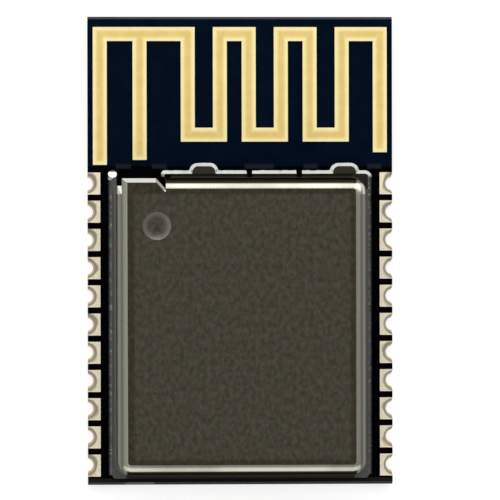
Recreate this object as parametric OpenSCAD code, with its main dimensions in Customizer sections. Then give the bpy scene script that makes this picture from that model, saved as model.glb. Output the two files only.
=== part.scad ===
// Surface-mount radio module with a printed antenna, half-hole edge pads and a drawn shield can.
// Millimetres. The origin is the centre of the board's underside, +Z is the component side and
// +Y points to the antenna end.

/* [Board] */
// Width across the two rows of edge pads
board_w = 13.74; // [12.4:0.01:16]
// Length from the plain end to the antenna end
board_l = 21.1; // [20.5:0.1:24]
// Thickness of the board
board_t = 0.8; // [0.6:0.1:1.6]
// From the last pad's centre to the plain end of the board
end_margin = 0.88; // [0.7:0.02:2]
// Width of the bevel that scoring leaves on the two short ends
score_bevel = 0.12; // [0.06:0.01:0.2]

/* [Edge pads] */
// Pads along each long edge
pad_count = 11; // [10:1:12]
// Distance between neighbouring pads
pad_pitch = 1.27; // [1.2:0.01:1.4]
// Length of a pad along the edge
pad_len = 0.99; // [0.95:0.01:1.15]
// Reach of a pad's top land in from the edge
pad_reach = 0.57; // [0.5:0.01:0.9]
// Reach of a pad's bottom land in from the edge
pad_reach_under = 0.9; // [0.56:0.01:1.2]
// How far the half-hole's axis lies outside the edge
hole_out = 0.05; // [0.02:0.01:0.2]
// Radius of the plated half-hole at the top face
hole_r_top = 0.45; // [0.36:0.01:0.45]
// Radius of the plated half-hole at the bottom face
hole_r_bottom = 0.29; // [0.24:0.01:0.44]
// Thickness of the lands
land_t = 0.05; // [0.03:0.01:0.1]
// Thickness of the plating at the mouth of the half-hole
plating_t = 0.04; // [0.03:0.01:0.06]

/* [Antenna] */
// Width of the trace
trace_w = 0.63; // [0.5:0.005:0.75]
// Height of the trace above the board
trace_t = 0.04; // [0.03:0.01:0.1]
// Bare board between the trace and the long edges
antenna_side = 0.24; // [0.1:0.005:0.4]
// Bare board between the trace and the antenna end
antenna_end = 0.475; // [0.2:0.005:0.8]
// Gap between the ground leg and the feed leg
ground_gap = 1.16; // [0.9:0.01:1.3]
// Gap between the feed leg and the meander
feed_gap = 1.54; // [1.2:0.01:1.7]
// Gap inside each loop of the meander
loop_gap = 0.82; // [0.6:0.01:0.9]
// Gap between neighbouring loops
turn_gap = 0.67; // [0.5:0.01:0.8]
// Loops in the meander
loop_count = 3; // [2:1:3]
// Bare board between the ground leg and the first pad
ground_leg_clear = 0.345; // [0.1:0.01:1]
// Bare board between the feed leg and the shield
feed_clear = 0.64; // [0.3:0.01:1.5]
// Bare board between the meander and the shield
meander_clear = 1.46; // [0.8:0.01:2.5]
// Bare board between the tail of the meander and the shield
tail_clear = 0.98; // [0.5:0.01:2]

/* [Shield can] */
// Thickness of the sheet
sheet_t = 0.2; // [0.1:0.01:0.25]
// Height of the can above the board
can_h = 2; // [1.5:0.05:3]
// Outside radius of the drawn rim
bend_r = 0.5; // [0.35:0.01:0.7]
// Corner radius of the flat top
corner_r = 0.12; // [0.05:0.01:0.4]
// Width of the foot flange, from the wall's outer face
flange_w = 0.2; // [0.16:0.01:0.3]
// Radius in the corner between the wall and the flange
foot_r = 0.1; // [0.05:0.01:0.14]
// Radius at the corners of the flange
flange_corner_r = 0.15; // [0.05:0.01:0.3]
// Bare board between the edge pads and the foot of the can
can_side_gap = 0.525; // [0.3:0.005:0.8]
// How far the can reaches past the first pad's centre
can_over = 0.42; // [0:0.01:0.8]
// Flat board left between the can and the bevel of the plain end
can_end_clear = 0.18; // [0.02:0.01:1]
// From the feed leg's centre to the end of the antenna-side wall
notch_reach = 1.13; // [0.9:0.01:1.6]
// How far the lip over the feed notch stands past the bend line
lip_out = 0.48; // [0.42:0.01:0.65]
// Length of the lip's slanted corner, along X
lip_slant = 0.44; // [0.2:0.01:0.6]
// Width of the bevel along the lip's edge
lip_bevel_w = 0.19; // [0.1:0.01:0.3]
// How far that bevel falls
lip_bevel_drop = 0.08; // [0.04:0.01:0.09]
// Size of the slanted corner's bevel, as a share of the lip's
slant_bevel_share = 0.6; // [0.3:0.05:0.9]
// How far down the left bend the lip reaches
lip_side_drop = 0.09; // [0.05:0.01:0.2]
// From the lip's edge back to the end of the left wall
wall_back = 0.33; // [0.1:0.01:0.5]
// Length of the sloped face at the end of the left bend
coin_l = 0.38; // [0.2:0.01:0.6]
// How far that sloped face falls
coin_drop = 0.22; // [0.1:0.01:0.25]

/* [Foot details] */
// Width of a solder tab
tab_w = 1; // [0.8:0.01:1.2]
// How far a tab stands out of the flange
tab_out = 0.34; // [0.28:0.01:0.4]
// Radius at the corners of a tab
tab_corner_r = 0.25; // [0.1:0.01:0.27]
// Distance between the two tabs
tab_spacing = 6.35; // [5:0.05:7]
// From the can's right side to the nearer tab
tab_inset = 1.06; // [0.9:0.01:1.5]
// Width of a slot in the edge of the flange
slot_w = 0.23; // [0.1:0.01:0.4]
// Depth of a slot
slot_depth = 0.14; // [0.05:0.01:0.15]
// Distance between the two slots
slot_spacing = 2.25; // [1.5:0.05:3]
// Width of the relief cut in the flange at the feed notch
relief_w = 0.25; // [0.1:0.01:0.4]
// Depth of that relief
relief_depth = 0.18; // [0.1:0.01:0.18]
// Width of the solder along the flange
solder_w = 0.18; // [0.1:0.01:0.25]
// Height of the solder at the flange
solder_h = 0.13; // [0.08:0.01:0.2]
// Height of the solder's outer edge
solder_toe = 0.02; // [0.01:0.01:0.04]
// Radius of the solder blob at the end of the left flange
blob_r = 0.2; // [0.15:0.01:0.25]
// Height of the blob
blob_h = 0.3; // [0.22:0.01:0.35]
// Radius of the blob's domed top
blob_dome_r = 0.4; // [0.38:0.01:0.6]
// How far the dome's centre lies behind the middle of the blob
blob_lean = 0.17; // [0:0.01:0.2]

/* [Pin-one dimple] */
// Radius of the round dimple in the flat top
dimple_r = 0.62; // [0.3:0.01:0.9]
// Depth of the dimple
dimple_depth = 0.04; // [0.02:0.01:0.08]
// From the left bend line to the dimple's centre
dimple_inset_x = 1.28; // [1:0.01:3]
// From the antenna-side bend line to the dimple's centre
dimple_inset_y = 1.65; // [1:0.01:3]

/* [Parts under the can] */
// Free board between neighbouring parts
part_gap = 0.35; // [0.2:0.01:0.5]
// Side of the radio chip
chip_w = 6; // [5:0.1:7]
// Height of the radio chip
chip_h = 0.85; // [0.6:0.05:1]
// Leads along each side of the radio chip
lead_count = 10; // [6:1:10]
// Distance between neighbouring leads
lead_pitch = 0.5; // [0.4:0.01:0.5]
// Width of a lead
lead_w = 0.25; // [0.15:0.01:0.3]
// Length of a lead
lead_len = 0.4; // [0.25:0.01:0.5]
// Thickness of the leads and the thermal pad
lead_t = 0.2; // [0.1:0.01:0.25]
// Side of the thermal pad
thermal_w = 4.4; // [3:0.1:4.6]
// Length of the main crystal
main_l = 3.2; // [2.5:0.1:3.6]
// Width of the main crystal
main_w = 2.5; // [2:0.1:2.8]
// Height of both crystals, without the lid
crystal_h = 0.6; // [0.4:0.05:0.9]
// Length of the clock crystal
clock_l = 3.2; // [2:0.1:3.4]
// Width of the clock crystal
clock_w = 1.5; // [1.2:0.1:1.7]
// Rim of ceramic around a crystal's lid
lid_rim = 0.15; // [0.1:0.01:0.25]
// Thickness of a crystal's lid
lid_t = 0.12; // [0.08:0.01:0.2]
// Radius of the hollow at each corner of a crystal
crystal_corner_r = 0.2; // [0.1:0.01:0.2]
// Length of a chip capacitor, inductor or resistor
small_l = 1; // [0.8:0.05:1.15]
// Width of such a small part
small_w = 0.5; // [0.4:0.05:0.6]
// Height of a small capacitor or inductor
small_h = 0.5; // [0.3:0.05:0.6]
// Height of a small resistor
resistor_h = 0.35; // [0.2:0.05:0.5]
// Length of the metal cap at each end of a small part
cap_l = 0.25; // [0.15:0.01:0.3]
// Step from a metal cap down to the body
cap_step = 0.02; // [0.01:0.01:0.05]
// Length of the power inductor
coil_l = 2; // [1.6:0.1:2.2]
// Width of the power inductor
coil_w = 1.25; // [1:0.05:1.6]
// Height of the power inductor
coil_h = 1; // [0.8:0.05:1.2]

/* [Hidden] */
$fn = 64;

// Board
edge_x = board_w / 2;
end_y = board_l / 2;
sides = [-1, 1];
function pad_y(i) = -end_y + end_margin + (pad_count - 1 - i) * pad_pitch;

// Shield can: its foot outline, then the rectangle of its corner axes
can_w = board_w - 2 * (pad_reach + can_side_gap);
can_y0 = -end_y + score_bevel + can_end_clear;
can_y1 = pad_y(0) + can_over;
wall_r = corner_r + bend_r;
rim_r = wall_r + flange_w;
axis_x = can_w / 2 - rim_r;
axis_y0 = can_y0 + rim_r;
axis_y1 = can_y1 - rim_r;
can_corners = [[axis_x, axis_y1, 0], [axis_x, axis_y0, -90], [-axis_x, axis_y0, 180]];
flange_r = wall_r + foot_r;
corner_run = rim_r - flange_corner_r;
bend_x = axis_x + corner_r;
bend_y = axis_y1 + corner_r;
lip_y = bend_y + lip_out;
lip_side = sqrt(lip_side_drop * (2 * bend_r - lip_side_drop));
wall_y1 = lip_y - wall_back;

// Antenna
trace_x0 = -edge_x + antenna_side;
trace_x1 = edge_x - antenna_side;
trace_y1 = end_y - antenna_end;
feed_x0 = trace_x0 + trace_w + ground_gap;
feed_x = feed_x0 + trace_w / 2;
meander_x0 = feed_x0 + trace_w + feed_gap;
loop_pitch = 2 * trace_w + loop_gap + turn_gap;
tail_x0 = trace_x1 - trace_w;
wall_x0 = feed_x + notch_reach;

// Foot details of the antenna-side wall
tab_x = [for (k = [0, 1]) can_w / 2 - tab_inset - k * tab_spacing];
tab_flat = tab_w - 2 * tab_corner_r;
tab_side = tab_out - tab_corner_r;
slot_x = [for (k = sides) (tab_x[0] + tab_x[1] + k * slot_spacing) / 2];
blob_x = -can_w / 2 - solder_w + blob_r;

// Dimple
dimple_ball_r = (dimple_r * dimple_r + dimple_depth * dimple_depth) / (2 * dimple_depth);

// Layout under the can: columns from the left, rows from the plain end
small_pitch = small_l + part_gap;
group_w = clock_w + part_gap + chip_w + part_gap + small_w;
group_l = main_w + part_gap + chip_w + part_gap + small_w + part_gap + small_l;
group_x0 = -group_w / 2;
group_y0 = (can_y0 + can_y1 - group_l) / 2;
clock_x = group_x0 + clock_w / 2;
chip_x = group_x0 + clock_w + part_gap + chip_w / 2;
chip_y = group_y0 + main_w + part_gap + chip_w / 2;
main_x = group_x0 + small_w + part_gap + main_l / 2;
main_y = group_y0 + main_w / 2;
coil_x = main_x + main_l / 2 + part_gap + small_w + part_gap + coil_l / 2;
supply_x = chip_x + chip_w / 2 + part_gap + small_w / 2;
series_y = chip_y + chip_w / 2 + part_gap + small_w / 2;
shunt_y = series_y + small_w / 2 + part_gap + small_l / 2;

// Small parts, each a name, a place, a turn in degrees and a kind
series_parts = [for (k = [0 : 3])
    [str(k % 2 == 0 ? "matching_inductor_0" : "matching_capacitor_0", floor(k / 2) + 1),
     [feed_x + k * small_pitch, series_y], 0, k % 2 == 0 ? "inductor" : "capacitor"]];
shunt_parts = [for (k = [0, 1])
    [str("matching_capacitor_0", k + 3), [feed_x + (k + 0.5) * small_pitch, shunt_y], 90, "capacitor"]];
pullup_parts = [for (k = [0, 1])
    [str("pullup_resistor_0", k + 1),
     [chip_x + chip_w / 2 - small_l / 2 - k * small_pitch, shunt_y], 0, "resistor"]];
supply_parts = [for (k = [0 : 3])
    [str("supply_capacitor_0", k + 1), [supply_x, chip_y + (1.5 - k) * small_pitch], 90, "capacitor"]];
main_load_parts = [for (k = [0, 1])
    [str("load_capacitor_0", k + 1),
     [main_x + sides[k] * (main_l / 2 + part_gap + small_w / 2), main_y], 90, "capacitor"]];
clock_load_parts = [for (k = [0, 1])
    [str("load_capacitor_0", k + 3),
     [clock_x, chip_y + sides[k] * (clock_l / 2 + part_gap + small_w / 2)], 0, "capacitor"]];
small_parts = concat(series_parts, shunt_parts, pullup_parts, supply_parts, main_load_parts,
    clock_load_parts);

// Node names
function two_digits(n) = n < 10 ? str("0", n) : str(n);
function pad_name(side, i) = str("edge_pad_", side < 0 ? "left_" : "right_", two_digits(i + 1));

// Places its children on the board's top face
module on_board(x = 0, y = 0) {
    translate([x, y, board_t]) children();
}

// Everything that one edge pad takes out of the board: both lands and the plated bore
module pad_envelope() {
    for (land = [[pad_reach, board_t - land_t], [pad_reach_under, 0]])
        translate([-land[0], -pad_len / 2, land[1]]) cube([land[0], pad_len, land_t]);
    intersection() {
        translate([hole_out, 0, 0]) cylinder(r = hole_r_top + plating_t, h = board_t);
        translate([-edge_x, -pad_pitch, 0]) cube([edge_x, 2 * pad_pitch, board_t]);
    }
}

// Puts a right-hand pad at its place on either edge
module at_pad(side, i) {
    translate([side * edge_x, pad_y(i), 0]) rotate([0, 0, side < 0 ? 180 : 0]) children();
}

module circuit_board() {
    color("#0a1626") difference() {
        rotate([90, 0, 90]) translate([0, 0, -edge_x]) linear_extrude(board_w) polygon([
            [-end_y, 2 * score_bevel],
            [-end_y + score_bevel, 0],
            [end_y - score_bevel, 0],
            [end_y, 2 * score_bevel],
            [end_y, board_t - 2 * score_bevel],
            [end_y - score_bevel, board_t],
            [-end_y + score_bevel, board_t],
            [-end_y, board_t - 2 * score_bevel]]);
        for (side = sides, i = [0 : pad_count - 1])
            at_pad(side, i) {
                pad_envelope();
                translate([hole_out, 0, -board_t]) cylinder(r = hole_r_top + plating_t, h = 3 * board_t);
            }
    }
}

module edge_pad(side, i) {
    flare = (hole_r_top - hole_r_bottom) * land_t / board_t;
    color("#e6d6b4") at_pad(side, i) difference() {
        pad_envelope();
        translate([hole_out, 0, -land_t])
            cylinder(r1 = hole_r_bottom - flare, r2 = hole_r_top + flare, h = board_t + 2 * land_t);
    }
}

// One straight stretch of antenna trace between two corners
module trace(x0, y0, x1, y1) {
    translate([x0, y0]) square([x1 - x0, y1 - y0]);
}

module antenna_trace() {
    bar_y = trace_y1 - trace_w;
    turn_y = can_y1 + meander_clear;
    first_pad_top = pad_y(0) + pad_len / 2;
    color("#e2c878") on_board() linear_extrude(trace_t) {
        trace(trace_x0, first_pad_top + ground_leg_clear, trace_x0 + trace_w, trace_y1);
        trace(feed_x0, can_y1 + feed_clear, feed_x0 + trace_w, trace_y1);
        trace(trace_x0, bar_y, meander_x0 + trace_w, trace_y1);
        for (k = [0 : loop_count - 1]) {
            down_x = meander_x0 + k * loop_pitch;
            up_x = down_x + trace_w + loop_gap;
            next_x = k < loop_count - 1 ? down_x + loop_pitch : tail_x0;
            trace(down_x, turn_y, down_x + trace_w, trace_y1);
            trace(down_x, turn_y, up_x + trace_w, turn_y + trace_w);
            trace(up_x, turn_y, up_x + trace_w, trace_y1);
            trace(up_x, bar_y, next_x + trace_w, trace_y1);
        }
        trace(tail_x0, can_y1 + tail_clear, trace_x1, trace_y1);
    }
}

// Quarter of a ring of sheet, in the first quadrant
module sheet_bend(outer_r) {
    intersection() {
        difference() {
            circle(r = outer_r);
            circle(r = outer_r - sheet_t);
        }
        square(2 * outer_r);
    }
}

// Section of the can's wall, outward from a corner axis: flat top, bend, wall and foot bend
module wall_section() {
    foot_z = sheet_t + foot_r;
    translate([0, can_h - sheet_t]) square([corner_r, sheet_t]);
    translate([corner_r, can_h - bend_r]) sheet_bend(bend_r);
    translate([wall_r - sheet_t, foot_z]) square([sheet_t, can_h - bend_r - foot_z]);
    translate([flange_r, foot_z]) rotate(180) sheet_bend(foot_z);
}

// Section of the can's rim: the wall and the flat of the flange
module rim_section() {
    wall_section();
    translate([flange_r, 0]) square([rim_r - flange_r, sheet_t]);
}

// The part of the flange that runs on past the end of the left wall
module strip_section() {
    translate([wall_r, 0]) square([flange_w, sheet_t]);
}

// The part of the left bend that the lip reaches down to
module lip_section() {
    intersection() {
        wall_section();
        translate([0, can_h - bend_r]) square([corner_r + lip_side, bend_r]);
    }
}

// Section of a run of solder, outward from the edge that it rises to
module solder_section() {
    polygon([[0, 0], [solder_w, 0], [solder_w, solder_toe], [0, solder_h]]);
}

// Runs a section along a wall, from x0 to x1, facing +Y
module along_wall(x0, x1) {
    translate([x0, 0, 0]) rotate([90, 0, 90]) linear_extrude(x1 - x0) children();
}

module antenna_side_run(more = 0) {
    translate([0, axis_y1, 0]) along_wall(wall_x0, axis_x + more) children();
}

module right_side_run(more = 0) {
    translate([axis_x, 0, 0]) rotate([0, 0, -90]) along_wall(-axis_y1 - more, -axis_y0 + more) children();
}

module plain_end_run() {
    translate([0, axis_y0, 0]) rotate([0, 0, 180]) along_wall(-axis_x, axis_x) children();
}

module left_side_run(y0, y1) {
    translate([-axis_x, 0, 0]) rotate([0, 0, 90]) along_wall(y0, y1) children();
}

// The flat of the flange round a corner axis
module flange_corner() {
    linear_extrude(sheet_t) difference() {
        union() {
            square([rim_r, corner_run]);
            square([corner_run, rim_r]);
            translate([corner_run, corner_run]) circle(r = flange_corner_r);
        }
        circle(r = (flange_r + rim_r) / 2);
    }
}

module can_corner() {
    rotate_extrude(angle = 90) rim_section();
    flange_corner();
}

module flange_slots() {
    for (x = slot_x)
        translate([x - slot_w / 2, can_y1 - slot_depth, -sheet_t])
            cube([slot_w, slot_depth + 2 * solder_w, 3 * sheet_t]);
}

// Relief in the flange, at the end of the antenna-side wall
module flange_relief() {
    translate([wall_x0 - relief_w, can_y1 - relief_depth, -sheet_t])
        cube([2 * relief_w, 2 * relief_depth, 3 * sheet_t]);
}

// A solder tab's outline, with its middle at x = 0, from the middle of the flange outward
module tab_outline() {
    root = flange_w / 2;
    intersection() {
        union() {
            translate([-tab_w / 2, can_y1 - root]) square([tab_w, root + tab_side]);
            translate([-tab_flat / 2, can_y1 - root]) square([tab_flat, root + tab_out]);
            for (side = sides) translate([side * tab_flat / 2, can_y1 + tab_side]) circle(r = tab_corner_r);
        }
        translate([-tab_w, can_y1 - root]) square([2 * tab_w, root + 2 * tab_out]);
    }
}

// Bevels an edge of the lip that lies on the X axis and faces +Y
module lip_bevel(x0, x1, share) {
    w = share * lip_bevel_w;
    drop = share * lip_bevel_drop;
    along_wall(x0, x1) polygon([[-w, can_h], [w, can_h - 2 * drop], [w, can_h + drop], [-w, can_h + drop]]);
}

// The lip over the feed notch: the flat top runs on and ends in a bevelled edge
module lip() {
    corner_x = wall_x0 - lip_slant;
    difference() {
        union() {
            translate([0, 0, can_h - sheet_t]) linear_extrude(sheet_t) polygon([
                [-axis_x, axis_y1],
                [wall_x0, axis_y1],
                [wall_x0, bend_y],
                [corner_x, lip_y],
                [-axis_x, lip_y]]);
            left_side_run(wall_y1, lip_y) lip_section();
        }
        translate([0, lip_y, 0]) lip_bevel(-can_w / 2, wall_x0, 1);
        translate([corner_x, lip_y, 0]) rotate([0, 0, -atan2(lip_out, lip_slant)])
            lip_bevel(-lip_slant, norm([lip_slant, lip_out]) + lip_bevel_w, slant_bevel_share);
    }
}

// Takes the sloped face off the end of the left bend, below the lip
module coined_end() {
    high_z = can_h - lip_side_drop;
    along_wall(-can_w / 2, -bend_x - lip_side) polygon([
        [wall_y1 - coin_l, high_z],
        [wall_y1, high_z - coin_drop],
        [lip_y, high_z - coin_drop],
        [lip_y, can_h],
        [wall_y1 - coin_l, can_h]]);
}

module can_body() {
    difference() {
        union() {
            translate([-axis_x, axis_y0, can_h - sheet_t]) cube([2 * axis_x, axis_y1 - axis_y0, sheet_t]);
            antenna_side_run() rim_section();
            right_side_run() rim_section();
            plain_end_run() rim_section();
            left_side_run(axis_y0, wall_y1) rim_section();
            left_side_run(wall_y1, can_y1) strip_section();
            for (c = can_corners) translate([c[0], c[1], 0]) rotate([0, 0, c[2]]) can_corner();
            lip();
        }
        flange_slots();
        flange_relief();
        coined_end();
    }
    for (x = tab_x) translate([x, 0, 0]) linear_extrude(sheet_t) tab_outline();
}

module shield_can() {
    dimple_at = [-bend_x + dimple_inset_x, bend_y - dimple_inset_y, can_h + dimple_ball_r - dimple_depth];
    color("#6f6b5e") on_board() difference() {
        can_body();
        translate(dimple_at) sphere(r = dimple_ball_r);
    }
}

// Solder round the edge of a tab with its middle at x = 0
module tab_solder() {
    translate([0, can_y1 + tab_out, 0]) along_wall(-tab_flat / 2, tab_flat / 2) solder_section();
    for (side = sides) mirror([side < 0 ? 1 : 0, 0, 0]) {
        translate([tab_flat / 2, can_y1 + tab_side, 0]) rotate_extrude(angle = 90)
            translate([tab_corner_r, 0]) solder_section();
        translate([tab_w / 2, 0, 0]) rotate([0, 0, -90])
            along_wall(-can_y1 - tab_side, -can_y1) solder_section();
    }
}

// Solder that turns the end of the antenna-side flange at the feed notch
module solder_hook() {
    translate([wall_x0, can_y1, 0]) rotate([0, 0, 90]) {
        rotate_extrude(angle = 90) solder_section();
        along_wall(-slot_depth, 0) solder_section();
    }
}

// Solder blob that leans on the end of the left flange
module solder_blob() {
    difference() {
        intersection() {
            translate([blob_x, can_y1, 0]) cylinder(r = blob_r, h = blob_h);
            translate([blob_x, can_y1 - blob_lean, blob_h - blob_dome_r]) sphere(r = blob_dome_r);
        }
        left_side_run(wall_y1, can_y1) strip_section();
    }
}

module shield_solder() {
    color("#d9d9d2") on_board() {
        difference() {
            union() {
                antenna_side_run(corner_run) translate([rim_r, 0]) solder_section();
                right_side_run(corner_run) translate([rim_r, 0]) solder_section();
                left_side_run(axis_y0 - corner_run, can_y1) translate([rim_r, 0]) solder_section();
                translate([axis_x + corner_run, axis_y1 + corner_run, 0]) rotate_extrude(angle = 90)
                    translate([flange_corner_r, 0]) solder_section();
            }
            for (x = tab_x) translate([x, 0, -sheet_t]) linear_extrude(3 * sheet_t) tab_outline();
            flange_slots();
        }
        for (x = tab_x) translate([x, 0, 0]) tab_solder();
        solder_hook();
        solder_blob();
    }
}

// Leads around the radio chip and the thermal pad under it
module chip_metal() {
    for (turn = [0 : 90 : 270], k = [0 : lead_count - 1])
        rotate([0, 0, turn])
            translate([(k - (lead_count - 1) / 2) * lead_pitch - lead_w / 2, chip_w / 2 - lead_len, 0])
                cube([lead_w, lead_len, lead_t]);
    translate([-thermal_w / 2, -thermal_w / 2, 0]) cube([thermal_w, thermal_w, lead_t]);
}

module radio_chip() {
    color("#1c1c1e") on_board(chip_x, chip_y) difference() {
        translate([-chip_w / 2, -chip_w / 2, 0]) cube([chip_w, chip_w, chip_h]);
        chip_metal();
    }
}

module radio_chip_leads() {
    color("#c9c7bf") on_board(chip_x, chip_y) chip_metal();
}

module crystal_base(length, width) {
    color("#4a4238") difference() {
        translate([-length / 2, -width / 2, 0]) cube([length, width, crystal_h]);
        for (x = sides, y = sides)
            translate([x * length / 2, y * width / 2, -crystal_h])
                cylinder(r = crystal_corner_r, h = 3 * crystal_h);
    }
}

module crystal_lid(length, width) {
    lid_l = length - 2 * lid_rim;
    lid_w = width - 2 * lid_rim;
    color("#cfccc2") translate([-lid_l / 2, -lid_w / 2, crystal_h]) cube([lid_l, lid_w, lid_t]);
}

// A block part with a metal cap at each end
module capped_block(length, width, height) {
    for (end = sides)
        translate([end * (length - cap_l) / 2 - cap_l / 2, -width / 2, 0]) cube([cap_l, width, height]);
    translate([-length / 2 + cap_l, -width / 2 + cap_step, cap_step])
        cube([length - 2 * cap_l, width - 2 * cap_step, height - 2 * cap_step]);
}

module small_part(part) {
    kind = part[3];
    tint = kind == "capacitor" ? "#a9825c" : kind == "inductor" ? "#d8d6cc" : "#202020";
    height = kind == "resistor" ? resistor_h : small_h;
    color(tint) on_board(part[1][0], part[1][1]) rotate([0, 0, part[2]])
        capped_block(small_l, small_w, height);
}

module power_inductor() {
    color("#3c3c3e") on_board(coil_x, main_y) capped_block(coil_l, coil_w, coil_h);
}

circuit_board();
antenna_trace();
for (side = sides, i = [0 : pad_count - 1])
    edge_pad(side, i);
shield_can();
shield_solder();
radio_chip();
radio_chip_leads();
on_board(main_x, main_y) crystal_base(main_l, main_w);  // main_crystal_base
on_board(main_x, main_y) crystal_lid(main_l, main_w);  // main_crystal_lid
on_board(clock_x, chip_y) crystal_base(clock_w, clock_l);  // clock_crystal_base
on_board(clock_x, chip_y) crystal_lid(clock_w, clock_l);  // clock_crystal_lid
power_inductor();
for (part = small_parts)
    small_part(part);
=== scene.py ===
import math

import bpy
from mathutils import Euler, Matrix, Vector


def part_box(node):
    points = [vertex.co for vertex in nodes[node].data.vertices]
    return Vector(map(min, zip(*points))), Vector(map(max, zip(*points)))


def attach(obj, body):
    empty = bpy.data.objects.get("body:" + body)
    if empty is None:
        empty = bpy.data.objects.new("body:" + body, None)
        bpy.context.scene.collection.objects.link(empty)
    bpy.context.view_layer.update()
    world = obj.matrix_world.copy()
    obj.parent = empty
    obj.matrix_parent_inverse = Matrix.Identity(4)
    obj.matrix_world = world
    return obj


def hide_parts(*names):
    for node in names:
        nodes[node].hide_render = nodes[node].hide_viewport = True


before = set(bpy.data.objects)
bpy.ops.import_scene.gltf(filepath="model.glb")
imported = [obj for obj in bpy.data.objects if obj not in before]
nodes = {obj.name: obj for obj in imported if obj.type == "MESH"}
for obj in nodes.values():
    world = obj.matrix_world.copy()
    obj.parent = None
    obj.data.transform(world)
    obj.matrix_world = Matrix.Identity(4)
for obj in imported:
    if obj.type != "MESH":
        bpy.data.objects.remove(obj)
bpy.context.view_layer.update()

MM = 0.001
# Two pairs of ends between which most of a noise's values lie
NOISE_SPREAD = (0.3, 0.7)
TINT_SPREAD = (0.35, 0.65)


# Node building

def feed(tree, socket, value):
    """Links a socket to an output, or sets it to a number or a colour."""
    if isinstance(value, bpy.types.NodeSocket):
        tree.links.new(value, socket)
    elif isinstance(value, tuple) and len(value) == 3 and socket.type == "RGBA":
        socket.default_value = (*value, 1.0)
    else:
        socket.default_value = value


def millimetres(tree, scale=(1, 1, 1)):
    """Object coordinates in millimetres, each axis times its own scale."""
    place = tree.nodes.new("ShaderNodeTexCoord")
    mapping = tree.nodes.new("ShaderNodeMapping")
    mapping.inputs["Scale"].default_value = [s / MM for s in scale]
    tree.links.new(place.outputs["Object"], mapping.inputs["Vector"])
    return mapping.outputs["Vector"]


def split_xyz(tree, vector):
    node = tree.nodes.new("ShaderNodeSeparateXYZ")
    tree.links.new(vector, node.inputs["Vector"])
    return node.outputs["X"], node.outputs["Y"], node.outputs["Z"]


def noise(tree, vector, scale, detail=2.0, roughness=0.5):
    node = tree.nodes.new("ShaderNodeTexNoise")
    node.inputs["Detail"].default_value = detail
    node.inputs["Roughness"].default_value = roughness
    feed(tree, node.inputs["Scale"], scale)
    tree.links.new(vector, node.inputs["Vector"])
    return node.outputs["Fac"]


def ramp(tree, value, low, high, to_low=0.0, to_high=1.0):
    """A value spread smoothly from low..high to to_low..to_high and held at both ends."""
    node = tree.nodes.new("ShaderNodeMapRange")
    node.interpolation_type = "SMOOTHSTEP"
    given = (value, low, high, to_low, to_high)
    for name, item in zip(("Value", "From Min", "From Max", "To Min", "To Max"), given):
        feed(tree, node.inputs[name], item)
    return node.outputs["Result"]


def rise(tree, value, edge, softness):
    """0 below an edge and 1 above it."""
    return ramp(tree, value, edge - softness, edge + softness)


def fall(tree, value, edge, softness):
    """1 below an edge and 0 above it."""
    return ramp(tree, value, edge - softness, edge + softness, 1.0, 0.0)


def maths(tree, operation, a, b=0.0):
    node = tree.nodes.new("ShaderNodeMath")
    node.operation = operation
    for socket, value in zip(node.inputs, (a, b)):
        feed(tree, socket, value)
    return node.outputs["Value"]


def distance(tree, across, along):
    squares = [maths(tree, "POWER", side, 2.0) for side in (across, along)]
    return maths(tree, "SQRT", maths(tree, "ADD", *squares))


def blend(tree, factor, first, second, mode="MIX"):
    """A colour that goes from first to second, or to their mixture by another mode, as factor goes from 0 to 1."""
    node = tree.nodes.new("ShaderNodeMix")
    node.data_type = "RGBA"
    node.blend_type = mode
    feed(tree, node.inputs["Factor"], factor)
    for name, value in (("A", first), ("B", second)):
        feed(tree, next(s for s in node.inputs if s.name == name and s.type == "RGBA"), value)
    return next(s for s in node.outputs if s.type == "RGBA")


def bump(tree, shader, height, depth, strength):
    """Roughens a finish by a height that is depth millimetres deep."""
    node = tree.nodes.new("ShaderNodeBump")
    node.inputs["Strength"].default_value = strength
    node.inputs["Distance"].default_value = depth * MM
    tree.links.new(height, node.inputs["Height"])
    tree.links.new(node.outputs["Normal"], shader.inputs["Normal"])


# Effects that several materials share

def new_group(name, inputs, outputs):
    tree = bpy.data.node_groups.new(name, "ShaderNodeTree")
    for label, kind in inputs:
        tree.interface.new_socket(label, in_out="INPUT", socket_type="NodeSocket" + kind)
    for label, kind in outputs:
        tree.interface.new_socket(label, in_out="OUTPUT", socket_type="NodeSocket" + kind)
    return tree, tree.nodes.new("NodeGroupInput").outputs, tree.nodes.new("NodeGroupOutput").inputs


def grain_group():
    """Grain of a surface: a colour, a roughness and a height that go together."""
    tree, given, made = new_group(
        "fine_grain",
        [("Grains per mm", "Float"), ("Dark", "Color"), ("Light", "Color"), ("Smooth", "Float"), ("Rough", "Float")],
        [("Colour", "Color"), ("Roughness", "Float"), ("Height", "Float")])
    height = noise(tree, millimetres(tree), given["Grains per mm"], 3.0, 0.6)
    colour = blend(tree, ramp(tree, height, *NOISE_SPREAD), given["Dark"], given["Light"])
    tree.links.new(colour, made["Colour"])
    tree.links.new(ramp(tree, height, *NOISE_SPREAD, given["Smooth"], given["Rough"]), made["Roughness"])
    tree.links.new(height, made["Height"])
    return tree


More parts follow.
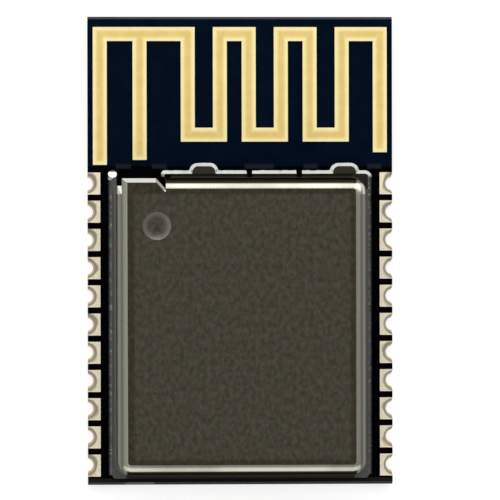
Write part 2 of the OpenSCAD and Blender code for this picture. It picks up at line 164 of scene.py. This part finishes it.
def patch_group():
    """A soft-edged oblong on the module, seen from above, in millimetres."""
    tree, given, made = new_group(
        "patch",
        [("Left", "Float"), ("Right", "Float"), ("Low", "Float"), ("High", "Float"), ("Softness", "Float")],
        [("Mask", "Float")])
    x, y, _ = split_xyz(tree, millimetres(tree))
    soft = given["Softness"]
    sides = []
    for value, start, end in ((x, given["Left"], given["Right"]), (y, given["Low"], given["High"])):
        sides.append(ramp(tree, value, maths(tree, "SUBTRACT", start, soft), maths(tree, "ADD", start, soft)))
        sides.append(ramp(tree, value, maths(tree, "SUBTRACT", end, soft), maths(tree, "ADD", end, soft), 1.0, 0.0))
    across = maths(tree, "MULTIPLY", sides[0], sides[1])
    along = maths(tree, "MULTIPLY", sides[2], sides[3])
    tree.links.new(maths(tree, "MULTIPLY", across, along), made["Mask"])
    return tree


fine_grain = grain_group()
patch_mask = patch_group()


def use_group(tree, group, values):
    node = tree.nodes.new("ShaderNodeGroup")
    node.node_tree = group
    for socket, value in zip(node.inputs, values):
        feed(tree, socket, value)
    return node.outputs


def grain(tree, per_mm, dark, light, smooth=0.0, rough=1.0):
    made = use_group(tree, fine_grain, (per_mm, dark, light, smooth, rough))
    return made["Colour"], made["Roughness"], made["Height"]


def patch(tree, left, right, low, high, softness):
    return use_group(tree, patch_mask, (left, right, low, high, softness))["Mask"]


# Finishes. Each place on the module is in millimetres. A patch is left, right, low, high and the softness of its edge,
# and any other edge is a place and a softness.

def new_material(name):
    material = bpy.data.materials.new(name)
    material.use_nodes = True
    tree = material.node_tree
    tree.nodes.clear()
    output = tree.nodes.new("ShaderNodeOutputMaterial")
    shader = tree.nodes.new("ShaderNodeBsdfPrincipled")
    tree.links.new(shader.outputs["BSDF"], output.inputs["Surface"])
    return material, tree, shader


def finish_with(tree, shader, colour, roughness):
    tree.links.new(colour, shader.inputs["Base Color"])
    tree.links.new(roughness, shader.inputs["Roughness"])


# Heights on the can: where its flat top ends, where the painted shade on its bend begins at the antenna end, where the
# painted dark band below that ends, and where the foot begins
FLAT_END = (2.798, 0.0015)
BEND_END = (2.735, 0.025)
RIM_LOW = (2.3, 0.05)
FOOT_TOP = (1.15, 0.1)
# How much lower the painted shade on the bend begins at the plain end and along the pads, and where the plain end gives
# way to the other
PLAIN_END_LOWER = 0.045
SIDES_LOWER = 0.06
PLAIN_TO_ANTENNA = (-6.0, -5.0)
# How far out the walls along the pads begin, and how far up the solder tabs begin
SIDE_WALL_X = (5.15, 0.06)
TAB_Y = (3.47, 0.04)
# How far out the painted darker line between the side bends' painted highlights lies, and how far from it the painted
# darkness begins and ends to fade
BEND_LINE_X = 5.345
BEND_LINE_FADE = (0.02, 0.1)
# The dimple's centre, and how far from it the painted highlight ring at its edge sets in and fades
DIMPLE = (-3.795, 1.1)
RING_IN = (0.3, 0.58)
RING_OUT = (0.6, 0.66)
# Patches: the middle of the flat top, the part of it that is clear of the painted shade of a shallow sink inside its
# bends, and the corner of the foot that is painted dark as shade
PLATE_MIDDLE = (-4.9, 4.9, -9.4, 2.6, 0.05)
CLEAR_OF_SINK_SHADE = (-4.81, 4.86, -9.35, 2.52, 0.09)
FOOT_CORNER = (5.05, 5.8, 2.75, 3.6, 0.12)
# Painted highlights and their colours: the face at the end of the left bend, the corner opposite and the edge of the
# lip, painted bright, and the slanted corner of the lip, painted dimmer; and the heights between which these highlights
# set in
PAINTED_HIGHLIGHTS = (
    ((-5.63, -5.34, 2.53, 2.93, 0.02), (0.6, 0.6, 0.55)),
    ((5.05, 5.52, 2.52, 3.0, 0.02), (0.6, 0.6, 0.53)),
    ((-5.5, -3.85, 3.0, 3.3, 0.02), (0.4, 0.39, 0.36)),
    ((-3.85, -3.4, 2.7, 3.3, 0.02), (0.2, 0.196, 0.17)),
)
HIGHLIGHT_HEIGHTS = (1.15, 1.95)

# The can's metal, by place, painted as lit and shaded copies of the one metal: the bends brighter as highlights, the
# flat top darker as its dark reflection, though its pebbled grain and tint are its own, and the walls, foot and tabs
# dark as shade; a pair is the two colours between which it varies
GRAZING_TINT = (0.3, 0.3, 0.28)
PLATE_PALE = ((0.204, 0.19, 0.134), (0.213, 0.186, 0.146))
PLATE_DEEP = ((0.124, 0.116, 0.078), (0.129, 0.111, 0.085))
RING_HIGHLIGHT = (0.34, 0.325, 0.27)
SINK_SHADE = (0.68, 0.67, 0.6)
END_BEND_HIGHLIGHT = ((0.49, 0.485, 0.4), (0.63, 0.625, 0.52))
SIDE_BEND_HIGHLIGHT = ((0.29, 0.29, 0.237), (0.46, 0.46, 0.38))
END_WALL_SHADE = ((0.021, 0.0195, 0.0135), (0.17, 0.158, 0.115))
SIDE_WALL = ((0.15, 0.149, 0.128), (0.225, 0.224, 0.194))
END_FOOT_SHADE = ((0.05, 0.046, 0.037), (0.017, 0.0157, 0.011))
SIDE_FOOT = (0.145, 0.146, 0.137)
CORNER_FOOT_SHADE = (0.03, 0.028, 0.021)
TAB_SHADE = (0.055, 0.05, 0.038)
# The sizes and stretch of its pebbled grain, tint and uneven painted highlight, and its roughness by place
PEBBLES_PER_MM, PEBBLE_STRETCH, PEBBLE_SPREAD = 5.0, (1.0, 0.7, 1.0), (0.32, 0.68)
TINTS_PER_MM, TINT_STRETCH = 2.2, (1.2, 0.5, 1.0)
GLINTS_PER_MM, GLINT_STRETCH = 0.45, (1.0, 0.1, 0.1)
PLATE_ROUGH = (0.13, 0.17)
BEND_ROUGH = 0.24
WALL_ROUGH = 0.35


# The flat top: grain and tint of its own, its darkness painted as dark reflection
def plate_colour(tree, x, y, pebbles):
    tint = ramp(tree, noise(tree, millimetres(tree, TINT_STRETCH), TINTS_PER_MM), *TINT_SPREAD)
    pale = blend(tree, tint, *PLATE_PALE)
    deep = blend(tree, tint, *PLATE_DEEP)
    plate = blend(tree, ramp(tree, pebbles, *PEBBLE_SPREAD), deep, pale)
    from_dimple = distance(tree, *(maths(tree, "SUBTRACT", a, b) for a, b in zip((x, y), DIMPLE)))
    # A painted highlight ring at the dimple's edge
    ring = maths(tree, "MULTIPLY", ramp(tree, from_dimple, *RING_IN), ramp(tree, from_dimple, *RING_OUT, 1.0, 0.0))
    plate = blend(tree, ring, plate, RING_HIGHLIGHT)
    # Painted shade inside the bends, where a shallow sink would lie
    sink = maths(tree, "SUBTRACT", 1.0, patch(tree, *CLEAR_OF_SINK_SHADE))
    return blend(tree, sink, plate, SINK_SHADE, "MULTIPLY")


# The bends painted bright as highlights: unevenly at the ends, and along the pads with a painted darker line
def bend_highlight(tree, beside_pads, off_line):
    glints = noise(tree, millimetres(tree, GLINT_STRETCH), GLINTS_PER_MM)
    end_highlight = blend(tree, ramp(tree, glints, *TINT_SPREAD), *END_BEND_HIGHLIGHT)
    return blend(tree, beside_pads, end_highlight, blend(tree, off_line, *SIDE_BEND_HIGHLIGHT))


# The walls painted as shade: at the ends a painted dark band under the rim, lighter below it; along the pads lighter,
# darker at the painted line
def wall_shade(tree, z, beside_pads, off_line):
    end_wall = blend(tree, fall(tree, z, *RIM_LOW), *END_WALL_SHADE)
    return blend(tree, beside_pads, end_wall, blend(tree, off_line, *SIDE_WALL))


# The foot painted as shade: darker towards the antenna end, dark on the tabs and in the right corner at the antenna
# end, lighter along the pads
def foot_shade(tree, y, beside_pads):
    end_foot = blend(tree, ramp(tree, y, *PLAIN_TO_ANTENNA), *END_FOOT_SHADE)
    end_foot = blend(tree, rise(tree, y, *TAB_Y), end_foot, TAB_SHADE)
    foot = blend(tree, beside_pads, end_foot, SIDE_FOOT)
    return blend(tree, patch(tree, *FOOT_CORNER), foot, CORNER_FOOT_SHADE)


def shield_metal():
    material, tree, shader = new_material("drawn_nickel_silver")
    shader.inputs["Metallic"].default_value = 1.0
    feed(tree, shader.inputs["Specular Tint"], GRAZING_TINT)
    x, y, z = split_xyz(tree, millimetres(tree))
    out = maths(tree, "ABSOLUTE", x)
    pebbles = noise(tree, millimetres(tree, PEBBLE_STRETCH), PEBBLES_PER_MM, 5.0, 0.7)
    beside_pads = rise(tree, out, *SIDE_WALL_X)
    # Away from the painted darker line along the side bends
    off_line = ramp(tree, maths(tree, "ABSOLUTE", maths(tree, "SUBTRACT", out, BEND_LINE_X)), *BEND_LINE_FADE)
    off_plate = maths(tree, "SUBTRACT", 1.0, patch(tree, *PLATE_MIDDLE))
    bend = maths(tree, "MULTIPLY", fall(tree, z, *FLAT_END), off_plate)
    # Where the painted shade on the bend begins, lower at the plain end and along the pads
    end_lower = ramp(tree, y, *PLAIN_TO_ANTENNA, PLAIN_END_LOWER, 0.0)
    lower = ramp(tree, beside_pads, 0.0, 1.0, end_lower, SIDES_LOWER)
    wall = fall(tree, maths(tree, "ADD", z, lower), *BEND_END)

    # The bends painted bright as highlights over the flat top
    colour = blend(tree, bend, plate_colour(tree, x, y, pebbles), bend_highlight(tree, beside_pads, off_line))
    # The walls below the bends painted as shade
    colour = blend(tree, wall, colour, wall_shade(tree, z, beside_pads, off_line))
    # The foot painted as shade
    colour = blend(tree, fall(tree, z, *FOOT_TOP), colour, foot_shade(tree, y, beside_pads))
    # Painted highlights on the patches above, where they lie on the bends
    highlight_zone = maths(tree, "MULTIPLY", ramp(tree, z, *HIGHLIGHT_HEIGHTS), bend)
    for place, metal in PAINTED_HIGHLIGHTS:
        colour = blend(tree, maths(tree, "MULTIPLY", patch(tree, *place), highlight_zone), colour, metal)

    rough = ramp(tree, bend, 0.0, 1.0, ramp(tree, pebbles, *NOISE_SPREAD, *PLATE_ROUGH), BEND_ROUGH)
    finish_with(tree, shader, colour, ramp(tree, wall, 0.0, 1.0, rough, WALL_ROUGH))
    bump(tree, shader, pebbles, 0.0012, 0.35)
    return material


# The antenna trace: its width, the distances between its legs' left edges, the heights of the low ends of its feed,
# loops and tail, and how far in from its edges its darker middle begins
TRACE_W = 0.63
LEG_STEPS = (1.79, 2.17, 1.45, 1.3, 1.45, 1.3, 1.45)
FEED_LOW = 4.09
LOOP_LOW = 4.91
TAIL_LOW = 4.43
MIDDLE_INSET, MIDDLE_SOFTNESS = 0.16, 0.1
# Its gilding, painted lighter at the rim as a highlight, and in the middle, the sizes of the gilding's cloudiness and
# grain, and its roughness
TRACE_RIM_HIGHLIGHT = ((0.97, 0.83, 0.42), (1.0, 0.87, 0.46))
TRACE_MIDDLE = ((0.79, 0.59, 0.192), (0.85, 0.64, 0.22))
CLOUDS_PER_MM = 2.0
TRACE_GRAINS_PER_MM = 11.0
GILT_ROUGH = (0.44, 0.56)


def trace_stretches():
    """The straight stretches of the trace as left, right, low and high, in millimetres."""
    low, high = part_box("antenna_trace")
    top, bar = high.y / MM, high.y / MM - TRACE_W
    lefts = [low.x / MM]
    for step in LEG_STEPS:
        lefts.append(lefts[-1] + step)
    lefts.append(high.x / MM - TRACE_W)
    lows = [low.y / MM, FEED_LOW] + [LOOP_LOW] * 6 + [TAIL_LOW]
    legs = [(x, x + TRACE_W, y, top) for x, y in zip(lefts, lows)]
    bars = [(a, b + TRACE_W, bar, top) for a, b in ((lefts[0], lefts[2]), *zip(lefts[3::2], lefts[4::2]))]
    turns = [(a, b + TRACE_W, LOOP_LOW, LOOP_LOW + TRACE_W) for a, b in zip(lefts[2:8:2], lefts[3:8:2])]
    return legs + bars + turns


def gilt_trace():
    material, tree, shader = new_material("gilt_trace")
    shader.inputs["Metallic"].default_value = 0.5
    middle = 0.0
    for left, right, low, high in trace_stretches():
        inset = MIDDLE_INSET
        stretch = patch(tree, left + inset, right - inset, low + inset, high - inset, MIDDLE_SOFTNESS)
        middle = maths(tree, "MAXIMUM", middle, stretch)
    rim, _, _ = grain(tree, CLOUDS_PER_MM, *TRACE_RIM_HIGHLIGHT)
    core, _, _ = grain(tree, CLOUDS_PER_MM, *TRACE_MIDDLE)
    _, rough, height = grain(tree, TRACE_GRAINS_PER_MM, (0, 0, 0), (1, 1, 1), *GILT_ROUGH)
    # The rim painted lighter than the middle, as a highlight along the edges
    finish_with(tree, shader, blend(tree, middle, rim, core), rough)
    bump(tree, shader, height, 0.002, 0.4)
    return material


# The pads: their step along the edge, the middle of one of them, how far out the half-holes' axes lie, where the
# painted shade of the collar round each half-hole ends and how unevenly, and where, along the edge from its middle, it
# pales to what share on its painted lit side
PAD_STEP = 1.27
PAD_MIDDLE_Y = -3.32
HOLE_AXIS_X = 6.92
COLLAR = (0.44, 0.56)
COLLAR_UNEVEN = (-0.04, 0.06)
COLLAR_PALER = (-0.05, -0.4)
PALER_SHARE = 0.45
# Their gilding, the painted shade of the collar, and the size of its grain
PAD_BRIGHT = ((0.86, 0.76, 0.57), (0.94, 0.85, 0.67))
PAD_COLLAR_SHADE = ((0.3, 0.255, 0.18), (0.4, 0.345, 0.25))
PAD_GRAINS_PER_MM = 9.0


def gilt_pad():
    material, tree, shader = new_material("gilt_pad")
    shader.inputs["Metallic"].default_value = 0.5
    x, y, _ = split_xyz(tree, millimetres(tree))
    out = maths(tree, "SUBTRACT", HOLE_AXIS_X, maths(tree, "ABSOLUTE", x))
    along = maths(tree, "FLOORED_MODULO", maths(tree, "SUBTRACT", y, PAD_MIDDLE_Y - PAD_STEP / 2), PAD_STEP)
    along = maths(tree, "SUBTRACT", along, PAD_STEP / 2)
    uneven = ramp(tree, noise(tree, millimetres(tree), 1.7, 0.0), *NOISE_SPREAD, *COLLAR_UNEVEN)
    from_axis = maths(tree, "ADD", distance(tree, out, along), uneven)
    # The collar is painted shade, paler towards the plain end of each pad as its painted lit side
    paler = ramp(tree, along, *COLLAR_PALER, 1.0, PALER_SHARE)
    collar = maths(tree, "MULTIPLY", ramp(tree, from_axis, *COLLAR, 1.0, 0.0), paler)
    bright, rough, height = grain(tree, PAD_GRAINS_PER_MM, *PAD_BRIGHT, *GILT_ROUGH)
    shaded, _, _ = grain(tree, PAD_GRAINS_PER_MM, *PAD_COLLAR_SHADE)
    finish_with(tree, shader, blend(tree, collar, bright, shaded), rough)
    bump(tree, shader, height, 0.002, 0.4)
    return material


# The half-holes' bores: the heights between which their painted light gives way to painted shade, their gilding painted
# lit below and shaded above, and its roughness
BORE_SHADE_HEIGHTS = (0.1, 0.62)
BORE_LIT = ((0.6, 0.47, 0.27), (0.7, 0.57, 0.35))
BORE_SHADE = ((0.21, 0.175, 0.12), (0.29, 0.25, 0.18))
BORE_ROUGH = (0.53, 0.67)


def gilt_bore():
    material, tree, shader = new_material("gilt_bore")
    shader.inputs["Metallic"].default_value = 0.5
    _, _, z = split_xyz(tree, millimetres(tree))
    bright, rough, height = grain(tree, PAD_GRAINS_PER_MM, *BORE_LIT, *BORE_ROUGH)
    shaded, _, _ = grain(tree, PAD_GRAINS_PER_MM, *BORE_SHADE)
    # The bore painted lit low down and shaded higher up
    finish_with(tree, shader, blend(tree, ramp(tree, z, *BORE_SHADE_HEIGHTS), bright, shaded), rough)
    bump(tree, shader, height, 0.003, 0.4)
    return material


# The solder: how far out its runs beside the pads begin and, painted as shade, darken towards their toes, where they
# end, and the blob
SIDE_RUN_X = (5.75, 0.04)
SIDE_RUN_TOE = (5.78, 5.96)
SIDE_RUN_END_Y = (3.3, 0.08)
BLOB = (-6.1, -5.5, 3.2, 3.8, 0.02)
# Its metal at the antenna end, its painted shade beside the pads from top to toe, its painted highlight on the blob,
# and its grain and roughness
RUN_METAL = ((0.36, 0.37, 0.36), (0.44, 0.45, 0.435))
SIDE_RUN_SHADE = ((0.175, 0.178, 0.172), (0.02, 0.02, 0.021))
BLOB_HIGHLIGHT = (0.74, 0.75, 0.73)
SOLDER_GRAINS_PER_MM = 3.0
SOLDER_ROUGH = (0.25, 0.36)


def solder_metal():
    material, tree, shader = new_material("bright_solder")
    shader.inputs["Metallic"].default_value = 1.0
    x, y, _ = split_xyz(tree, millimetres(tree))
    out = maths(tree, "ABSOLUTE", x)
    run, rough, height = grain(tree, SOLDER_GRAINS_PER_MM, *RUN_METAL, *SOLDER_ROUGH)
    # Beside the pads the solder is painted darker as shade, darkest at the toes
    side_run = blend(tree, ramp(tree, out, *SIDE_RUN_TOE), *SIDE_RUN_SHADE)
    beside_pads = maths(tree, "MULTIPLY", rise(tree, out, *SIDE_RUN_X), fall(tree, y, *SIDE_RUN_END_Y))
    colour = blend(tree, beside_pads, run, side_run)
    # The blob painted bright as a highlight
    colour = blend(tree, patch(tree, *BLOB), colour, BLOB_HIGHLIGHT)
    finish_with(tree, shader, colour, rough)
    bump(tree, shader, height, 0.01, 0.3)
    return material


# The mask: where the ground copper under it ends, the left and right ends of the bare bands along that edge, their low
# and high ends and softness, and where the worn strip at the plain end fades
GROUND_EDGE_Y = (3.8, 0.06)
BARE_BANDS = ((-5.6, -4.93), (-3.98, -3.3), (0.21, 1.51), (2.87, 3.5), (5.75, 6.38))
BAND_RUN = (3.7, 3.9, 0.06)
END_STRIP = (-10.3, -10.2)
# Its colour over bare laminate and over copper, that of the bands and the strip, and its grain and roughness
MASK_BARE = ((0.0006, 0.0036, 0.0108), (0.0012, 0.0048, 0.014))
MASK_OVER_COPPER = ((0.0004, 0.0002, 0.0008), (0.001, 0.0005, 0.0014))
BAND_COLOUR = (0.0116, 0.0144, 0.0203)
STRIP_COLOUR = (0.013, 0.0115, 0.008)
MASK_GRAINS_PER_MM = 1.4
MASK_ROUGH = (0.28, 0.36)


def solder_mask():
    material, tree, shader = new_material("dark_solder_mask")
    shader.inputs["Specular IOR Level"].default_value = 0.012
    _, y, _ = split_xyz(tree, millimetres(tree))
    bare, rough, _ = grain(tree, MASK_GRAINS_PER_MM, *MASK_BARE, *MASK_ROUGH)
    over_copper, _, _ = grain(tree, MASK_GRAINS_PER_MM, *MASK_OVER_COPPER)
    colour = blend(tree, rise(tree, y, *GROUND_EDGE_Y), over_copper, bare)
    for left, right in BARE_BANDS:
        colour = blend(tree, patch(tree, left, right, *BAND_RUN), colour, BAND_COLOUR)
    colour = blend(tree, ramp(tree, y, *END_STRIP, 1.0, 0.0), colour, STRIP_COLOUR)
    finish_with(tree, shader, colour, rough)
    return material


# The board's edges: where the plain end's laminate gives way to the antenna end's, both laminates, the antenna end's
# painted lighter and bluer as reflected light, the paler patch of glass cloth in the plain end, and the size and
# stretch of the strands and their roughness
END_TO_END = (-9.0, 9.0)
PLAIN_END_LAMINATE = ((0.005, 0.0047, 0.0038), (0.012, 0.011, 0.009))
ANTENNA_END_LIT_LAMINATE = ((0.008, 0.0105, 0.016), (0.02, 0.025, 0.036))
CLOTH_PATCH = (-5.2, -3.9, -20.0, -10.0, 0.05)
CLOTH = (0.12, 0.1, 0.1)
STRANDS_PER_MM, STRAND_STRETCH = 2.5, (1.0, 1.0, 12.0)
STRAND_ROUGH = (0.5, 0.75)


def laminate():
    material, tree, shader = new_material("laminate_edge")
    shader.inputs["Specular IOR Level"].default_value = 0.2
    _, y, _ = split_xyz(tree, millimetres(tree))
    strands = noise(tree, millimetres(tree, STRAND_STRETCH), STRANDS_PER_MM, 3.0, 0.6)
    share = ramp(tree, strands, *NOISE_SPREAD)
    plain_end = blend(tree, share, *PLAIN_END_LAMINATE)
    antenna_end = blend(tree, share, *ANTENNA_END_LIT_LAMINATE)
    # Lighter and bluer towards the antenna end, painted as reflected light
    colour = blend(tree, ramp(tree, y, *END_TO_END), plain_end, antenna_end)
    colour = blend(tree, patch(tree, *CLOTH_PATCH), colour, CLOTH)
    finish_with(tree, shader, colour, ramp(tree, strands, *NOISE_SPREAD, *STRAND_ROUGH))
    return material


# The parts under the can: the size of their grain, and how far their roughness strays to either side
PART_GRAINS_PER_MM = 6.0
ROUGHNESS_SPREAD = 0.07


def grained(name, dark, light, roughness, metallic=0.0):
    material, tree, shader = new_material(name)
    shader.inputs["Metallic"].default_value = metallic
    ends = (roughness - ROUGHNESS_SPREAD, roughness + ROUGHNESS_SPREAD)
    colour, rough, height = grain(tree, PART_GRAINS_PER_MM, dark, light, *ends)
    finish_with(tree, shader, colour, rough)
    bump(tree, shader, height, 0.003, 0.4)
    return material


# Dressing the nodes

def dress(node_name, *materials):
    """Gives a node its materials; the first is on every face until paint_faces changes some."""
    mesh = nodes[node_name].data
    mesh.materials.clear()
    for material in materials:
        mesh.materials.append(material)
    for face in mesh.polygons:
        face.material_index = 0


def paint_faces(node_name, slot_index, chosen):
    for face in nodes[node_name].data.polygons:
        if chosen(face):
            face.material_index = slot_index


def is_upright(face):
    return abs(face.normal.z) < 0.9


# The solder's melt, in millimetres: the size of its facets, the rounds of smoothing, and the width and height of its
# ripples
MELT_FACET = 0.018
MELT_ROUNDS = 8
RIPPLE_W = 0.35
RIPPLE_H = 0.05


def apply_modifier(piece, kind, **settings):
    modifier = piece.modifiers.new(kind.lower(), kind)
    for name, value in settings.items():
        setattr(modifier, name, value)
    bpy.ops.object.modifier_apply(modifier=modifier.name)


def resize_points(factor):
    """Scales the points of the active object about its origin."""
    bpy.ops.object.mode_set(mode="EDIT")
    bpy.ops.mesh.select_all(action="SELECT")
    bpy.ops.transform.resize(value=(factor, factor, factor), center_override=(0, 0, 0))
    bpy.ops.object.mode_set(mode="OBJECT")


def solder_bead():
    """The runs of solder as they set: rounded and a little uneven. They are shaped in millimetres, because a remesh in
    metres has no facets as small."""
    bead = bpy.data.objects.new("solder_bead", nodes["shield_solder"].data.copy())
    bpy.context.scene.collection.objects.link(bead)
    bpy.ops.object.select_all(action="DESELECT")
    bead.select_set(True)
    bpy.context.view_layer.objects.active = bead
    ripples = bpy.data.textures.new("solder_ripples", "CLOUDS")
    ripples.noise_scale = RIPPLE_W
    resize_points(1 / MM)
    apply_modifier(bead, "REMESH", mode="VOXEL", voxel_size=MELT_FACET)
    apply_modifier(bead, "SMOOTH", factor=0.5, iterations=MELT_ROUNDS)
    apply_modifier(bead, "DISPLACE", texture=ripples, strength=RIPPLE_H, mid_level=0.5)
    resize_points(MM)
    bpy.ops.object.shade_smooth()
    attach(bead, "root")
    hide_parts("shield_solder")


mask = solder_mask()
edge = laminate()
trace_gilt = gilt_trace()
pad_gilt = gilt_pad()
bore_gilt = gilt_bore()
shield = shield_metal()
solder = solder_metal()
moulding = grained("chip_moulding", (0.012, 0.012, 0.013), (0.022, 0.022, 0.024), 0.6)
tin = grained("tinned_metal", (0.55, 0.54, 0.5), (0.7, 0.69, 0.66), 0.35, metallic=1.0)
crystal_ceramic = grained("crystal_ceramic", (0.05, 0.04, 0.034), (0.08, 0.065, 0.055), 0.6)
lid = grained("crystal_lid", (0.55, 0.53, 0.48), (0.66, 0.64, 0.58), 0.3, metallic=1.0)
capacitor_body = grained("capacitor_ceramic", (0.32, 0.18, 0.09), (0.42, 0.25, 0.13), 0.5)
inductor_body = grained("inductor_ceramic", (0.6, 0.59, 0.53), (0.7, 0.69, 0.63), 0.5)
resistor_body = grained("resistor_coat", (0.01, 0.01, 0.01), (0.02, 0.02, 0.02), 0.3)
ferrite = grained("ferrite", (0.035, 0.035, 0.037), (0.055, 0.055, 0.058), 0.6)

dress("circuit_board", mask, edge)
paint_faces("circuit_board", 1, is_upright)
dress("antenna_trace", trace_gilt)
dress("shield_can", shield)
dress("shield_solder", solder)
solder_bead()
dress("radio_chip", moulding)
dress("radio_chip_leads", tin)
for crystal in ("main_crystal", "clock_crystal"):
    dress(crystal + "_base", crystal_ceramic)
    dress(crystal + "_lid", lid)
for name in nodes:
    if name.startswith("edge_pad"):
        dress(name, pad_gilt, bore_gilt)
        paint_faces(name, 1, is_upright)

# The share of a small part's length that each of its tinned ends takes, and the bodies between them
END_CAP_SHARE = 0.26
BODIES = {
    "matching_inductor": inductor_body,
    "matching_capacitor": capacitor_body,
    "supply_capacitor": capacitor_body,
    "load_capacitor": capacitor_body,
    "pullup_resistor": resistor_body,
    "power_inductor": ferrite,
}
for name in nodes:
    for kind, body in BODIES.items():
        if name.startswith(kind):
            dress(name, body, tin)
            low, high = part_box(name)
            axis = 0 if high.x - low.x > high.y - low.y else 1
            middle = (low[axis] + high[axis]) / 2
            reach = (0.5 - END_CAP_SHARE) * (high[axis] - low[axis])
            paint_faces(name, 1, lambda face: abs(face.center[axis] - middle) > reach)


# Stage, light and camera

# The floor: its side in metres, how far below the module it lies in millimetres, its tone, and the glow that the camera
# and reflections see
FLOOR_SIDE = 4.0
FLOOR_GAP = 0.02
FLOOR_TONE = (0.35, 0.35, 0.35)
FLOOR_GLOW = 0.75


def white_floor():
    """A pale floor, which can be seen through from below."""
    bpy.ops.mesh.primitive_plane_add(size=FLOOR_SIDE, location=(0, 0, -FLOOR_GAP * MM))
    sheet = bpy.context.object
    sheet.name = "white_floor"
    material = bpy.data.materials.new("white_floor")
    material.use_nodes = True
    tree = material.node_tree
    tree.nodes.clear()
    matt = tree.nodes.new("ShaderNodeBsdfDiffuse")
    feed(tree, matt.inputs["Color"], FLOOR_TONE)
    glow = tree.nodes.new("ShaderNodeEmission")
    path = tree.nodes.new("ShaderNodeLightPath").outputs
    seen = maths(tree, "MAXIMUM", path["Is Camera Ray"], path["Is Glossy Ray"])
    seen = maths(tree, "MAXIMUM", seen, path["Is Transmission Ray"])
    tree.links.new(maths(tree, "MULTIPLY", seen, FLOOR_GLOW), glow.inputs["Strength"])
    both = tree.nodes.new("ShaderNodeAddShader")
    tree.links.new(matt.outputs["BSDF"], both.inputs[0])
    tree.links.new(glow.outputs["Emission"], both.inputs[1])
    from_below = tree.nodes.new("ShaderNodeMixShader")
    tree.links.new(tree.nodes.new("ShaderNodeNewGeometry").outputs["Backfacing"], from_below.inputs["Fac"])
    tree.links.new(both.outputs["Shader"], from_below.inputs[1])
    tree.links.new(tree.nodes.new("ShaderNodeBsdfTransparent").outputs["BSDF"], from_below.inputs[2])
    output = tree.nodes.new("ShaderNodeOutputMaterial")
    tree.links.new(from_below.outputs["Shader"], output.inputs["Surface"])
    sheet.data.materials.append(material)


# How far the lamps stand from the module, in metres
PANEL_DISTANCE = 0.5


def soft_panel(name, azimuth, low_angle, high_angle, width, radiance):
    """A flat soft lamp, from low_angle to high_angle off the vertical; azimuth 0 is the antenna end."""
    middle = math.radians((low_angle + high_angle) / 2)
    half = math.radians((high_angle - low_angle) / 2)
    height = 2 * PANEL_DISTANCE * math.tan(half)
    data = bpy.data.lights.new(name, "AREA")
    data.shape = "RECTANGLE"
    data.size = width
    data.size_y = height
    data.energy = radiance * math.pi * width * height
    lamp = bpy.data.objects.new(name, data)
    bpy.context.scene.collection.objects.link(lamp)
    around = math.radians(azimuth)
    flat = PANEL_DISTANCE * math.sin(middle)
    lamp.location = (flat * math.sin(around), flat * math.cos(around), PANEL_DISTANCE * math.cos(middle))
    lamp.rotation_euler = (-middle, 0, -around)


white_floor()
soft_panel("antenna_end_panel", 0, 12, 85, 2.2, 1.5)
soft_panel("plain_end_panel", 180, 37, 88, 1.4, 0.75)
soft_panel("left_panel", -90, 6, 75, 0.6, 0.12)

# The world lights the module at this level, and is white to the camera
SKY_LEVEL = 0.32
world = bpy.data.worlds.new("studio")
bpy.context.scene.world = world
world.use_nodes = True
sky = world.node_tree
sky.nodes["Background"].inputs["Color"].default_value = (1, 1, 1, 1)
seen_by_camera = sky.nodes.new("ShaderNodeLightPath").outputs["Is Camera Ray"]
sky.links.new(ramp(sky, seen_by_camera, 0.0, 1.0, SKY_LEVEL, 1.0), sky.nodes["Background"].inputs["Strength"])

# The photograph: its side in pixels, its scale at the board's top, and where and how the camera looked
PHOTO_SIDE = 500
PIXELS_PER_MM = 22.18
CAMERA_DISTANCE = 0.2
CAMERA_LEAN = math.radians(2.5)
CAMERA_ROLL = math.radians(-0.1)
AIM_MM = (0.442, 0.025)

camera_data = bpy.data.cameras.new("photo_camera")
camera = bpy.data.objects.new("photo_camera", camera_data)
bpy.context.scene.collection.objects.link(camera)
field = PHOTO_SIDE / PIXELS_PER_MM * MM
camera_data.lens = camera_data.sensor_width * CAMERA_DISTANCE / field
camera_data.clip_start = 0.01
turn = Euler((0, -CAMERA_LEAN, CAMERA_ROLL))
_, board_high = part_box("circuit_board")
aim = Vector((AIM_MM[0] * MM, AIM_MM[1] * MM, board_high.z))
camera.rotation_euler = turn
camera.location = aim + turn.to_matrix() @ Vector((0, 0, CAMERA_DISTANCE))
bpy.context.scene.camera = camera
bpy.context.scene.view_settings.view_transform = "Standard"
